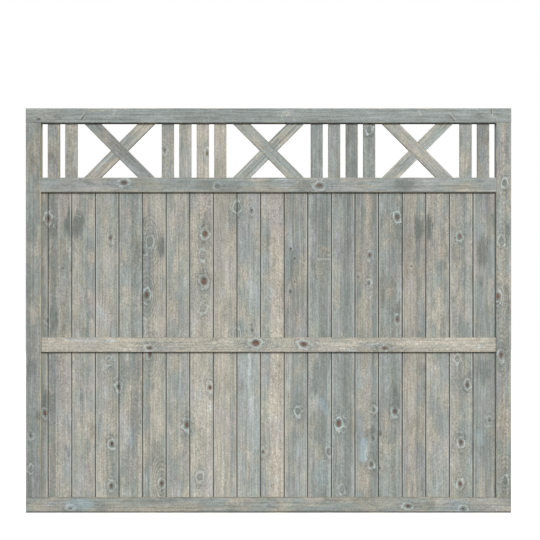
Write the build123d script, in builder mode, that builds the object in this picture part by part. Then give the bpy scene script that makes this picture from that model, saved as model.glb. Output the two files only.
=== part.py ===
"""Timber privacy fence panel: a grooved frame, tongue-and-groove boards and a lattice with crossed braces.

All sizes are in millimetres. X runs along the panel, Z is up and the front faces -Y. The origin is in the
middle of the panel's depth and width, on the plane that its bottom rail stands on.
"""

from build123d import *
from math import asin, atan2, cos, degrees, hypot, sin, tan
import os

os.makedirs("parts", exist_ok=True)

# The whole panel
panel_width = 1800.0
panel_height = 1500.0

# Frame members, as seen from the front
frame_depth = 45.0
stile_width = 56.0
top_rail_height = 54.0
bottom_rail_height = 57.0
lattice_rail_height = 54.0
lattice_opening_height = 203.0
middle_rail_height = 54.0
middle_rail_setback = 0.5
middle_rail_end_gap = 1.5
arris_radius = 2.5

# The groove along the frame's inner edges, and the play that the timber needs in it
groove_depth = 12.0
groove_side_clearance = 0.25
end_play = 0.8

# Tongue-and-groove boards
board_thickness = 16.0
board_cover = 87.75
first_strip_width = 24.6
board_joint_gap = 1.0
v_joint_depth = 2.2
tongue_length = 8.0
tongue_thickness = 5.0
tongue_clearance = 0.2
tongue_end_play = 1.0

# Pickets and braces of the lattice
batten_width = 45.0
batten_thickness = 16.0
batten_chamfer = 1.5
picket_gap = 20.0
end_gap = 23.0
brace_margin = 23.7
bay_count = 3
pickets_at_end = 2
pickets_between_bays = 4

# Long wood screws that hold the frame's corners, with countersunk heads at 90 degrees
countersink_angle = 90.0
screw_length = 100.0
screw_radius = 2.5
screw_head_radius = 4.9
screw_tip_length = 6.0
screw_recess = 0.6
screw_clearance = 0.3

# Square brads, driven from the back so that none of them shows on the front
brad_size = 1.8
brad_clearance = 0.3
brad_recess = 0.5
lattice_brad_length = 22.0
tenon_brad_spacing = 16.0
crossing_brad_front_cover = 2.5
rail_brad_front_cover = 5.5
rail_brad_stagger = 24.0

# Places that follow from the sizes above
opening_half = panel_width / 2 - stile_width
stile_middle = panel_width / 2 - stile_width / 2
frame_back = frame_depth / 2
top_rail_underside = panel_height - top_rail_height
lattice_rail_top = top_rail_underside - lattice_opening_height
lattice_rail_underside = lattice_rail_top - lattice_rail_height
lattice_rail_middle = lattice_rail_underside + lattice_rail_height / 2
middle_rail_middle = (bottom_rail_height + lattice_rail_underside) / 2
board_groove_width = board_thickness + 2 * groove_side_clearance
batten_groove_width = batten_thickness + 2 * groove_side_clearance
insert_length = groove_depth - end_play
seat_half = opening_half + insert_length
board_back = board_thickness / 2
batten_back = batten_thickness / 2
middle_rail_thickness = (frame_depth - board_thickness) / 2 - middle_rail_setback
middle_rail_face = board_back + middle_rail_thickness
rail_brad_length = 2 * middle_rail_face - brad_recess - rail_brad_front_cover
crossing_brad_length = batten_thickness - brad_recess - crossing_brad_front_cover


def save(piece, name):
    """Label a finished piece and write it to its own file."""
    piece.part.label = name
    export_step(piece.part, f"parts/{name}.step")


def rail_section(start, low, height, groove_above, groove_below):
    """The eased cross-section of a bar that runs along X, with a groove of each width that isn't 0."""
    with BuildSketch(Plane.YZ.offset(start)) as section:
        with Locations((0, low + height / 2)):
            Rectangle(frame_depth, height)
        fillet(section.vertices(), arris_radius)
        if groove_above:
            with Locations((0, low + height)):
                Rectangle(groove_above, groove_depth, align=(Align.CENTER, Align.MAX), mode=Mode.SUBTRACT)
        if groove_below:
            with Locations((0, low)):
                Rectangle(groove_below, groove_depth, align=(Align.CENTER, Align.MIN), mode=Mode.SUBTRACT)
    return section.sketch


# Frame screws: one at each corner, through a rail and the stile's tenon into the end of the stile
sides = (-1, 1)
top_drillings = [Plane((side * stile_middle, 0, panel_height), z_dir=(0, 0, 1)) for side in sides]
bottom_drillings = [Plane((side * stile_middle, 0, 0), z_dir=(0, 0, -1)) for side in sides]
screw_hole_radius = screw_radius + screw_clearance


def sink_screw_holes(drillings, thickness):
    """Bore and countersink the holes in a rail that the screws' heads lie in."""
    sink_radius = screw_head_radius + screw_recess + screw_clearance
    with Locations(*drillings):
        CounterSinkHole(screw_hole_radius, sink_radius, thickness, countersink_angle)


# Lattice layout, from the middle bay outwards
picket_count = 2 * pickets_at_end + (bay_count - 1) * pickets_between_bays
close_gaps = 2 * (pickets_at_end - 1) + (bay_count - 1) * (pickets_between_bays - 1)
taken_width = 2 * end_gap + picket_count * batten_width + close_gaps * picket_gap
bay_width = (2 * opening_half - taken_width) / bay_count
picket_pitch = batten_width + picket_gap

picket_middles = []
bay_middles = []
reach = -opening_half + end_gap
for group in range(bay_count + 1):
    in_group = pickets_at_end if group in (0, bay_count) else pickets_between_bays
    for index in range(in_group):
        picket_middles.append(reach + batten_width / 2 + index * picket_pitch)
    reach += in_group * picket_pitch - picket_gap
    if group < bay_count:
        bay_middles.append(reach + bay_width / 2)
        reach += bay_width

batten_bottom = lattice_rail_top - groove_depth
batten_top = top_rail_underside + insert_length
crossing_height = (lattice_rail_top + top_rail_underside) / 2

# A brace reaches from corner to corner of its bay, less a margin, and this gives its slope
brace_span = bay_width - 2 * brace_margin
brace_slope = atan2(lattice_opening_height, brace_span) + asin(
    batten_width / hypot(lattice_opening_height, brace_span)
)
brace_half_across = batten_width / 2 / sin(brace_slope)

# Brads through the grooves' back walls: one at each end of each picket and brace, and two in each tenon
# of the lattice rail
low_brad_height = lattice_rail_top - groove_depth / 2
high_brad_height = top_rail_underside + groove_depth / 2
brad_hole_size = brad_size + brad_clearance


def brace_offset(height, rising):
    """How far a brace's centre line lies from its bay's middle at a height."""
    run = (height - crossing_height) / tan(brace_slope)
    return run if rising else -run


def brad_columns(height):
    """The X of each brad along one edge of the lattice."""
    columns = list(picket_middles)
    for middle in bay_middles:
        columns += [middle + brace_offset(height, rising) for rising in (True, False)]
    return columns


def drill_brad_holes(places, outer_face, length):
    """Cut square holes that run forward from a face at the back of the panel."""
    depth = length + brad_recess + brad_clearance
    with Locations(*[(x, outer_face, z) for x, z in places]):
        Box(
            brad_hole_size,
            depth,
            brad_hole_size,
            align=(Align.CENTER, Align.MAX, Align.CENTER),
            mode=Mode.SUBTRACT,
        )


low_brads = [(x, low_brad_height) for x in brad_columns(low_brad_height)]
high_brads = [(x, high_brad_height) for x in brad_columns(high_brad_height)]
tenon_brads = [
    (side * (opening_half + groove_depth / 2), lattice_rail_middle + step * tenon_brad_spacing / 2)
    for side in sides
    for step in (-1, 1)
]
crossing_brads_at = [(middle, crossing_height) for middle in bay_middles]

# Top rail: runs over both stiles, with the groove for the lattice and the stiles' tenons below
with BuildPart() as top_rail:
    extrude(
        rail_section(-panel_width / 2, top_rail_underside, top_rail_height, 0, batten_groove_width),
        amount=panel_width,
    )
    sink_screw_holes(top_drillings, top_rail_height)
    drill_brad_holes(high_brads, frame_back, lattice_brad_length)
save(top_rail, "top_rail")

# Bottom rail: carries both stiles and the boards' lower ends in its groove
with BuildPart() as bottom_rail:
    extrude(
        rail_section(-panel_width / 2, 0, bottom_rail_height, board_groove_width, 0),
        amount=panel_width,
    )
    sink_screw_holes(bottom_drillings, bottom_rail_height)
save(bottom_rail, "bottom_rail")

# Lattice rail: grooved on both edges, with stub tenons that seat in the stiles
with BuildPart() as lattice_rail:
    extrude(
        rail_section(
            -opening_half,
            lattice_rail_underside,
            lattice_rail_height,
            batten_groove_width,
            board_groove_width,
        ),
        amount=2 * opening_half,
    )
    with BuildSketch(Plane.YZ.offset(-seat_half)):
        with Locations((0, lattice_rail_middle)):
            Rectangle(board_thickness, lattice_rail_height - 2 * groove_depth)
    extrude(amount=2 * seat_half)
    drill_brad_holes(low_brads + tenon_brads, frame_back, lattice_brad_length)
save(lattice_rail, "lattice_rail")


def make_stile(side):
    """A stile with a groove along its inner edge and a stub tenon at each end."""
    with BuildPart() as stile:
        with BuildSketch(Plane.XY.offset(bottom_rail_height)) as section:
            with Locations((side * stile_middle, 0)):
                Rectangle(stile_width, frame_depth)
            fillet(section.vertices(), arris_radius)
        extrude(amount=top_rail_underside - bottom_rail_height)
        with BuildSketch(Plane.XY.offset(bottom_rail_height - insert_length)):
            with Locations((side * stile_middle, 0)):
                Rectangle(stile_width, board_thickness)
        extrude(amount=insert_length)
        with BuildSketch(Plane.XY.offset(top_rail_underside)):
            with Locations((side * stile_middle, 0)):
                Rectangle(stile_width, batten_thickness)
        extrude(amount=insert_length)
        with BuildSketch(Plane.XY):
            with Locations((side * (opening_half + groove_depth / 2), 0)):
                Rectangle(groove_depth, board_groove_width)
        extrude(amount=panel_height, mode=Mode.SUBTRACT)
        with Locations(*top_drillings, *bottom_drillings):
            Hole(screw_hole_radius, depth=screw_length + screw_recess + screw_clearance)
        drill_brad_holes(tenon_brads, frame_back, lattice_brad_length)
    return stile


save(make_stile(-1), "left_stile")
save(make_stile(1), "right_stile")

# Boards: each one's tongue lies in the groove of the next, and both outer edges lie in the stiles
first_joint = first_strip_width - opening_half
joint_count = int((opening_half - first_joint) // board_cover) + 1
joints = [first_joint + index * board_cover for index in range(joint_count)]
board_bottom = bottom_rail_height - groove_depth
board_length = lattice_rail_underside + insert_length - board_bottom


def make_board(left, right, tongue, groove, brads_at):
    """A board with a tongue of some length on its right edge. The ripped first one has no groove."""
    with BuildPart() as board:
        with BuildSketch(Plane.XY.offset(board_bottom)) as section:
            with Locations(((left + right) / 2, 0)):
                Rectangle(right - left, board_thickness)
            chamfer(section.vertices().group_by(Axis.X)[-1], v_joint_depth)
            with Locations((right, 0)):
                Rectangle(tongue, tongue_thickness, align=(Align.MIN, Align.CENTER))
            if groove:
                chamfer(section.vertices().group_by(Axis.X)[0], v_joint_depth)
                with Locations((left, 0)):
                    Rectangle(
                        tongue_length - board_joint_gap + tongue_end_play,
                        tongue_thickness + 2 * tongue_clearance,
                        align=(Align.MIN, Align.CENTER),
                        mode=Mode.SUBTRACT,
                    )
        extrude(amount=board_length)
        if brads_at:
            drill_brad_holes(brads_at, middle_rail_face, rail_brad_length)
    return board


# Rail brads: one in the middle of each board, stepped up and down so that they don't follow one grain line
rail_brads_at = []
for index, joint in enumerate(joints):
    right_of_joint = joints[index + 1] if index + 1 < joint_count else opening_half
    step = rail_brad_stagger / 2 if index % 2 else -rail_brad_stagger / 2
    rail_brads_at.append(((joint + right_of_joint) / 2, middle_rail_middle + step))

half_gap = board_joint_gap / 2
save(make_board(-seat_half, first_joint - half_gap, tongue_length, False, []), "board_01")
for index in range(joint_count):
    left_edge = joints[index] + half_gap
    right_edge = min(joints[index] + board_cover - half_gap, seat_half)
    tongue = min(tongue_length, seat_half - right_edge) if index == joint_count - 1 else tongue_length
    board = make_board(left_edge, right_edge, tongue, True, rail_brads_at[index : index + 1])
    save(board, f"board_{index + 2:02d}")


def make_middle_rail(facing):
    """A rail that lies on the boards between the stiles. Facing is -1 on the front and 1 on the back."""
    with BuildPart() as rail:
        with BuildSketch(Plane.YZ.offset(middle_rail_end_gap - opening_half)) as section:
            with Locations((facing * (board_back + middle_rail_thickness / 2), middle_rail_middle)):
                Rectangle(middle_rail_thickness, middle_rail_height)
            fillet(section.vertices(), arris_radius)
        extrude(amount=2 * (opening_half - middle_rail_end_gap))
        drill_brad_holes(rail_brads_at, middle_rail_face, rail_brad_length)
    return rail


save(make_middle_rail(-1), "middle_rail_front")
save(make_middle_rail(1), "middle_rail_back")

# Pickets: their lower ends stand on the groove's floor
for index, middle in enumerate(picket_middles):
    with BuildPart() as picket:
        with BuildSketch(Plane.XY.offset(batten_bottom)) as picket_section:
            with Locations((middle, 0)):
                Rectangle(batten_width, batten_thickness)
            chamfer(picket_section.vertices(), batten_chamfer)
        extrude(amount=batten_top - batten_bottom)
        drill_brad_holes(
            [(middle, low_brad_height), (middle, high_brad_height)], frame_back, lattice_brad_length
        )
    save(picket, f"picket_{index + 1:02d}")


def brace_outline(middle, rising):
    """A brace's slanted outline, cut level at both ends."""
    low = middle + brace_offset(batten_bottom, rising)
    high = middle + brace_offset(batten_top, rising)
    with BuildSketch(Plane.XZ) as outline:
        with BuildLine():
            Polyline(
                (low - brace_half_across, batten_bottom),
                (low + brace_half_across, batten_bottom),
                (high + brace_half_across, batten_top),
                (high - brace_half_across, batten_top),
                close=True,
            )
        make_face()
    return outline.sketch


def make_brace(middle, rising):
    """A brace with a half lap at the crossing. The falling one keeps its front, the rising one its back."""
    lap_side = 1 if rising else -1
    grain = (cos(brace_slope), 0, sin(brace_slope) if rising else -sin(brace_slope))
    with BuildPart() as brace:
        extrude(brace_outline(middle, rising), amount=batten_back, both=True)
        chamfer(brace.edges().filter_by(Axis((0, 0, 0), grain)), batten_chamfer)
        extrude(brace_outline(middle, not rising), amount=lap_side * batten_back, mode=Mode.SUBTRACT)
        for height in (low_brad_height, high_brad_height):
            place = (middle + brace_offset(height, rising), height)
            drill_brad_holes([place], frame_back, lattice_brad_length)
        drill_brad_holes([(middle, crossing_height)], batten_back, crossing_brad_length)
    return brace


for index, middle in enumerate(bay_middles):
    save(make_brace(middle, rising=False), f"falling_brace_{index + 1}")
    save(make_brace(middle, rising=True), f"rising_brace_{index + 1}")


# A frame screw that points down from the origin, as thick as its thread is outside
with BuildPart() as frame_screw:
    with BuildSketch(Plane.XZ):
        with BuildLine():
            Polyline(
                (0, 0),
                (screw_head_radius, 0),
                (screw_radius, screw_radius - screw_head_radius),
                (screw_radius, screw_tip_length - screw_length),
                (0, -screw_length),
                close=True,
            )
        make_face()
    revolve(axis=Axis.Z)

with BuildPart() as frame_screws:
    with Locations(*[place.offset(-screw_recess) for place in top_drillings + bottom_drillings]):
        add(frame_screw.part)
save(frame_screws, "frame_screws")


def make_brads(places, outer_face, length):
    """A set of square brads, each sunk a little below the face that it was driven through."""
    with BuildPart() as brads:
        with Locations(*[(x, outer_face - brad_recess, z) for x, z in places]):
            Box(brad_size, length, brad_size, align=(Align.CENTER, Align.MAX, Align.CENTER))
    return brads


save(make_brads(low_brads + high_brads + tenon_brads, frame_back, lattice_brad_length), "lattice_brads")
save(make_brads(crossing_brads_at, batten_back, crossing_brad_length), "crossing_brads")
save(make_brads(rail_brads_at, middle_rail_face, rail_brad_length), "rail_brads")

print(f"{joint_count + 1} boards, {len(picket_middles)} pickets, {2 * len(bay_middles)} braces")
print(f"bay width {bay_width:.1f} mm, braces at {degrees(brace_slope):.2f} degrees")
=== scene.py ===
# %% [markdown]
# # A timber privacy fence panel with a lattice top
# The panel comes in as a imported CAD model: a grooved frame, twenty tongue-and-groove boards, a clamping
# rail on each side of them, and a lattice of pickets and crossed braces. Its shapes are already right, so
# this notebook is mostly about finish: softwood under a thin grey glaze, with bands, knots and worn edges.

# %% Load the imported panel
import math
import random

import bpy
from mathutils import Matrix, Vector


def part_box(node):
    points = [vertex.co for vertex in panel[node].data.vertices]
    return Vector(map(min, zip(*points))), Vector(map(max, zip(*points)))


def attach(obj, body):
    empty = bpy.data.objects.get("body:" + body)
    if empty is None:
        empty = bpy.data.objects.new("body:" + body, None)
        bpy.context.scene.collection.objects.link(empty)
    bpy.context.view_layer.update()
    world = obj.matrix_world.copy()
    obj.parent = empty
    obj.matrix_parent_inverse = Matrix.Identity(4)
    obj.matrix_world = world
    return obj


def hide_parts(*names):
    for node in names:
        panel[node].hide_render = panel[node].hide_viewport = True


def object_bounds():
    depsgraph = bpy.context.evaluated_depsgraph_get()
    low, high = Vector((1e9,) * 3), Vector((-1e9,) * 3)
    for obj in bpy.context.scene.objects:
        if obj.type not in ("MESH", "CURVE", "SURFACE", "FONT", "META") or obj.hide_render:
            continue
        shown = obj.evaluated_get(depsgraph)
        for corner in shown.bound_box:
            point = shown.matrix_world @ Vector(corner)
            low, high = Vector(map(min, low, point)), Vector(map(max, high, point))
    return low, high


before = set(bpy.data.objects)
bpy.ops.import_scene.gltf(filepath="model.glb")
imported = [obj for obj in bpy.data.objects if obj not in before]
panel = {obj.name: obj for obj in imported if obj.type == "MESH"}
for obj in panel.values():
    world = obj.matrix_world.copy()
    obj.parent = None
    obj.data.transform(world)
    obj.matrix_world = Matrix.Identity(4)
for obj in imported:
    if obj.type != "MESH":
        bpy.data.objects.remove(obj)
cad_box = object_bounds()
print(len(panel), "pieces, from", tuple(round(c, 3) for c in cad_box[0]), "to",
      tuple(round(c, 3) for c in cad_box[1]))

# %% [markdown]
# ## Where to stand
# The panel is seen square on, from the height of its middle. A long lens from a little over five metres
# keeps its sides parallel, and still shows a sliver of each rail's underside. The panel stands a little low
# in the picture. A small lens shift does that without tilting the camera, so no upright leans.

# %% Camera
PIXELS = 540
VIEW_WIDTH = 2.002
STAND_BACK = 5.3
PIXELS_LOW = 40.5
PIXELS_LEFT = 1.5

camera_data = bpy.data.cameras.new("camera")
camera_data.lens = camera_data.sensor_width * STAND_BACK / VIEW_WIDTH
camera_data.shift_x = PIXELS_LEFT / PIXELS
camera_data.shift_y = PIXELS_LOW / PIXELS
camera = bpy.data.objects.new("camera", camera_data)
camera.location = (0, cad_box[0].y - STAND_BACK, (cad_box[0].z + cad_box[1].z) / 2)
camera.rotation_euler = (math.radians(90), 0, 0)
bpy.context.scene.collection.objects.link(camera)
bpy.context.scene.camera = camera
print("lens", round(camera_data.lens, 1), "mm")

# %% [markdown]
# ## Small helpers for nodes
# A light or a colour that changes over a surface is a sum, and in Blender each step of such a sum is a node.
# These helpers add a node and join it up. What comes out of a node is wrapped as a value, so that the plain
# signs add the nodes, and a sum over a surface reads like any other sum.

# %% Values over a surface
class Value:
    """An output of a node. Each sign between two of them adds a Math node to their tree."""

    def __init__(self, socket):
        self.socket = socket

    def __add__(self, other):
        return maths("ADD", self, other)

    def __sub__(self, other):
        return maths("SUBTRACT", self, other)

    def __rsub__(self, other):
        return maths("SUBTRACT", other, self)

    def __mul__(self, other):
        return maths("MULTIPLY", self, other)

    def __rmul__(self, other):
        return maths("MULTIPLY", other, self)

    def __truediv__(self, other):
        return maths("DIVIDE", self, other)

    def __abs__(self):
        return maths("ABSOLUTE", self)


def join(value, socket):
    """Link a value to a socket, or set the socket if it is a plain number or colour."""
    if isinstance(value, Value):
        socket.id_data.links.new(value.socket, socket)
    else:
        socket.default_value = value


def join_all(node, values):
    """Link or set the inputs of a node, by name or by number."""
    for name, value in values.items():
        join(value, node.inputs[name])


def add_node(tree, kind, values=None, **settings):
    """Add a node with its settings, and link or set its inputs."""
    node = tree.nodes.new(kind)
    for name, setting in settings.items():
        setattr(node, name, setting)
    join_all(node, values or {})
    return node


def add_value(tree, kind, values=None, output=0, **settings):
    """Add a node and give back one of its outputs."""
    return Value(add_node(tree, kind, values, **settings).outputs[output])


def tree_of(*values):
    """The node tree that these values belong to, some of which may be plain numbers."""
    return next(value.socket.id_data for value in values if isinstance(value, Value))


def maths(operation, *values, clamp=False):
    """Do one step of a sum with a Math node."""
    inputs = dict(enumerate(values))
    return add_value(tree_of(*values), "ShaderNodeMath", inputs, operation=operation, use_clamp=clamp)


def new_material(name):
    """A new material. Returns it, its node tree and its shader."""
    material = bpy.data.materials.new(name)
    material.use_nodes = True
    return material, material.node_tree, material.node_tree.nodes["Principled BSDF"]


print("helpers ready:", ", ".join(helper.__name__ for helper in (join, add_node, add_value, maths)))

# %% [markdown]
# ## A pale surround
# The panel is seen on plain white, so the surround is pure white to the camera. As a light it is dimmer, or
# it would fill every shadow and the timber would look flat. A Light Path node tells the two apart.

# %% Surround
SURROUND_LIGHT = 0.41
WHITE = (1, 1, 1, 1)


def for_camera(tree, seen, unseen):
    """A shader that is one thing to the camera and another to every other ray."""
    is_camera = add_value(tree, "ShaderNodeLightPath", output="Is Camera Ray")
    return add_value(tree, "ShaderNodeMixShader", {"Fac": is_camera, 1: unseen, 2: seen})


world = bpy.data.worlds.new("studio")
world.use_nodes = True
tree = world.node_tree
tree.nodes.clear()
seen = add_value(tree, "ShaderNodeBackground", {"Color": WHITE})
lighting = add_value(tree, "ShaderNodeBackground", {"Color": WHITE, "Strength": SURROUND_LIGHT})
add_node(tree, "ShaderNodeOutputWorld", {"Surface": for_camera(tree, seen, lighting)})
bpy.context.scene.world = world
bpy.context.scene.view_settings.view_transform = "Standard"
print("surround", SURROUND_LIGHT, "as a light")

# %% [markdown]
# ## Two soft lamps
# The lamp in front stands to the right and about 25 degrees up. So each rail throws a short shadow on the
# boards below it, and each upright a thin one to its left. A second lamp lights the back, which is seen too.

# %% Lamps
LAMPS = {
    # its place, its aim and the length of its sides, all in metres, then its watts
    "main_lamp": ((5.0, -15.0, 8.0), (0, 0, 0.7), 4.0, 2580),
    "back_lamp": ((-5.0, 16.0, 9.0), (0, 0, 0.75), 6.0, 2500),
}
for name, (place, aim, size, watts) in LAMPS.items():
    light = bpy.data.lights.new(name, "AREA")
    light.size = size
    light.energy = watts
    lamp = bpy.data.objects.new(name, light)
    lamp.location = place
    lamp.rotation_euler = (Vector(aim) - Vector(place)).to_track_quat("-Z", "Y").to_euler()
    lamp.visible_camera = False
    bpy.context.scene.collection.objects.link(lamp)
print(len(bpy.data.lights), "lamps,", sum(light.energy for light in bpy.data.lights), "watts")

# %% [markdown]
# ## A pale floor
# The floor is plain and pale. To the camera it glows a little, so that it meets the white surround without a
# line. To every other ray it is a dim grey, because a bright floor would light the undersides of the rails.

# %% Floor
FLOOR_SIZE = 60
FLOOR_GLOW = 0.62
FLOOR_PALE = 0.90
FLOOR_DIM = 0.30
FLOOR_ROUGHNESS = 0.9

bpy.ops.object.select_all(action="DESELECT")
bpy.ops.mesh.primitive_plane_add(size=FLOOR_SIZE, location=(0, 0, 0))
floor = bpy.context.object
floor.name = "floor"
floor_paint, tree, pale_floor = new_material("floor_paint")
join_all(pale_floor, {
    "Base Color": (FLOOR_PALE, FLOOR_PALE, FLOOR_PALE, 1), "Roughness": FLOOR_ROUGHNESS,
    "Emission Color": WHITE, "Emission Strength": FLOOR_GLOW,
})
dim_floor = add_value(tree, "ShaderNodeBsdfDiffuse", {"Color": (FLOOR_DIM, FLOOR_DIM, FLOOR_DIM, 1)})
floor_shader = for_camera(tree, Value(pale_floor.outputs["BSDF"]), dim_floor)
join(floor_shader, tree.nodes["Material Output"].inputs["Surface"])
floor.data.materials.append(floor_paint)
print("floor", FLOOR_SIZE, "m wide, under the panel's lowest point", round(cad_box[0].z, 3))

# %% [markdown]
# ## Noise, fades and tones
# Nearly every pattern on the panel is soft noise, a fade that picks out a part of it, and a tone laid over
# the rest by that share. Most of a pattern is a few numbers with names. Two or four numbers in brackets are
# mostly a fade: where it starts and ends, and what it gives there. A FINE says how fine a noise is per metre,
# across the grain and along it, and a NOISE holds its detail and its roughness.

# %% Helpers for patterns
def larger(first, second):
    return maths("MAXIMUM", first, second)


def smaller(first, second):
    return maths("MINIMUM", first, second)


def distance(across, along):
    """The length of a line that goes this far across and this far along."""
    return maths("SQRT", across * across + along * along)


def fade(value, start, end, low=0.0, high=1.0):
    """A smooth change from low to high while the value goes from start to end."""
    inputs = {"Value": value, "From Min": start, "From Max": end, "To Min": low, "To Max": high}
    return add_value(tree_of(value), "ShaderNodeMapRange", inputs, interpolation_type="SMOOTHSTEP")


def blend(share, first, second, way="MIX"):
    """Mix two colours by a share that runs from 0 to 1."""
    inputs = {"Factor": share, "A": first, "B": second}
    return add_value(tree_of(share, first, second), "ShaderNodeMix", inputs, "Result",
                     data_type="RGBA", blend_type=way, clamp_factor=True)


def lay(colour, *layers):
    """Lay tones over a colour one after the other, each by its share."""
    for share, its_tone in layers:
        colour = blend(share, colour, its_tone)
    return colour


def vector(x, y, z):
    """One place made of three values."""
    return add_value(tree_of(x, y, z), "ShaderNodeCombineXYZ", {"X": x, "Y": y, "Z": z})


def axes(place):
    """The three parts of a vector, by name."""
    parts = add_node(tree_of(place), "ShaderNodeSeparateXYZ", {0: place}).outputs
    return {name: Value(parts[name]) for name in "XYZ"}


def noise(place, detail=2.0, rough=0.5):
    """Soft noise of scale 1, so the place's own scale sets the size of its grains."""
    inputs = {"Vector": place, "Scale": 1.0, "Detail": detail, "Roughness": rough}
    return add_value(tree_of(place), "ShaderNodeTexNoise", inputs, "Fac")


def tone(red, green, blue):
    """A colour as a screen writes it, from 0 to 255, made linear for the shader by the sRGB rule."""
    def linear(level):
        level /= 255
        return level / 12.92 if level <= 0.04045 else ((level + 0.055) / 1.055) ** 2.4

    return (linear(red), linear(green), linear(blue), 1.0)


print("a screen's middle grey is", round(tone(128, 128, 128)[0], 3), "in linear light")

# %% [markdown]
# ## Node groups
# A finish on real timber is many thin effects on top of each other. In Blender each one can be a node
# group: built once, with named inputs and outputs, and placed in every material with its own values. These
# helpers make a group and place it, so that a group reads like a recipe.

# %% Helpers for groups
SOCKET_KINDS = {"Colour": "NodeSocketColor", "Minus side": "NodeSocketColor", "Plus side": "NodeSocketColor",
                "Place": "NodeSocketVector"}


def new_group(name, inputs, outputs):
    """An empty node group with its named sockets. Returns the tree, its inputs by name and its end node."""
    tree = bpy.data.node_groups.new(name, "ShaderNodeTree")
    for names, way in ((inputs, "INPUT"), (outputs, "OUTPUT")):
        for socket_name in names.split(", "):
            kind = SOCKET_KINDS.get(socket_name, "NodeSocketFloat")
            tree.interface.new_socket(socket_name, in_out=way, socket_type=kind)
    start = tree.nodes.new("NodeGroupInput")
    end = tree.nodes.new("NodeGroupOutput")
    return tree, {socket.name: Value(socket) for socket in start.outputs}, end


def by_socket(values):
    """Keywords turned into the names of sockets, such as half_width into Half width."""
    return {name.replace("_", " ").capitalize(): value for name, value in values.items()}


def finish_group(end, **results):
    """Join the results to the outputs of a group."""
    join_all(end, by_socket(results))
    print("group", end.id_data.name, "has", len(end.id_data.nodes), "nodes")


def place_group(tree, group, **values):
    """Place a group in a tree and set or join its inputs. Returns its outputs by name."""
    node = add_node(tree, "ShaderNodeGroup", by_socket(values), node_tree=group)
    return {socket.name: Value(socket) for socket in node.outputs}


print("sockets that hold more than a number:", ", ".join(SOCKET_KINDS))

# %% [markdown]
# ## Grain round a knot
# A knot is a branch that the trunk grew round, so the fibres part in front of it and close behind it, like
# water round a post. That is the formula used here: the distance across the grain shrinks by the knot's
# radius squared over the distance squared. The group also gives the clearance, which says how far a point is
# from the edge of the nearest knot, because the dark rim and the pale rings follow from it. The smudge and
# the arches reach further along the grain, so each of them has a longer oval of its own.

# %% Group: grain round a knot
KNOT_STRETCH = 1.5
SMUDGE_STRETCH = 4.0
SMUDGE_FADE = (2.6, 0.6)
ARCH_STRETCH = 2.5
ARCH_SPACING = 0.0036
ARCH_LINE = (ARCH_SPACING * 0.4, ARCH_SPACING * 0.9)
ARCH_REACH = (0.055, 0.030)
FLOW_MARGIN = 0.004
TINY = 1e-7

knot_group, given, end = new_group(
    "Grain round a knot",
    "Across, Along, Clearance, Ring, Heart, Smudge, Figure, Knot across, Knot along, Knot radius, "
    "Knot ring, Knot heart, Knot figure",
    "Across, Clearance, Ring, Heart, Smudge, Figure",
)
off_across = given["Across"] - given["Knot across"]
off_along = given["Along"] - given["Knot along"]
from_knot = distance(off_across, off_along / KNOT_STRETCH)
flow_radius = given["Knot radius"] + FLOW_MARGIN
pull = maths("DIVIDE", flow_radius * flow_radius, larger(from_knot * from_knot, TINY), clamp=True)
clearance = from_knot - given["Knot radius"]
is_nearer = maths("LESS_THAN", clearance, given["Clearance"])
smudge_reach = distance(off_across, off_along / SMUDGE_STRETCH) / flow_radius
arch_distance = distance(off_across, off_along / ARCH_STRETCH)
arch_lines = fade(maths("PINGPONG", arch_distance, ARCH_SPACING), *ARCH_LINE)
figure = arch_lines * fade(arch_distance, *ARCH_REACH) * given["Knot figure"]
finish_group(
    end, across=given["Across"] - off_across * pull,
    clearance=smaller(clearance, given["Clearance"]),
    ring=is_nearer * (given["Knot ring"] - given["Ring"]) + given["Ring"],
    heart=is_nearer * (given["Knot heart"] - given["Heart"]) + given["Heart"],
    smudge=larger(fade(smudge_reach, *SMUDGE_FADE) * given["Knot ring"], given["Smudge"]),
    figure=larger(figure, given["Figure"]),
)

# %% [markdown]
# ## Growth rings
# A plank is a slice through a trunk's rings. Rings are cylinders round the pith, so the distance from the
# pith gives them all: close lines near a board's edges, wide calm ones in the middle, and arcs on its ends.
# The pith of each piece lies at its own place behind its face, and slow noise stops the lines being ruled.

# %% Group: growth rings
RING_WIDTH = 0.0042
RING_DRIFT = 0.03
DRIFT_FINE = (9.0, 1.6)
LATE_WOOD_START = (0.45, 0.92)
LATE_WOOD_END = (1.0, 0.93)

ring_group, given, end = new_group(
    "Growth rings", "Across, Depth, Along, Pith across, Pith depth, Seed", "Line")
from_pith = distance(given["Across"] - given["Pith across"], given["Depth"] - given["Pith depth"])
drift_place = vector(given["Across"] * DRIFT_FINE[0], given["Seed"], given["Along"] * DRIFT_FINE[1])
ring_radius = from_pith + (noise(drift_place) - 0.5) * RING_DRIFT
in_ring = maths("FRACT", ring_radius / RING_WIDTH)
finish_group(end, line=fade(in_ring, *LATE_WOOD_START) * fade(in_ring, *LATE_WOOD_END))

# %% [markdown]
# ## Patches in the glaze
# Where a knot lies just under the face, or the brush went over twice, the glaze dries darker in a soft oval
# along the grain. Where a board drank little, it stays sandy. One group draws such an oval with a ragged
# edge, and two running values keep the strongest dark and the strongest sandy patch at each point.

# %% Group: a patch in the glaze
OVAL_EDGE = (1.35, 0.55)

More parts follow.
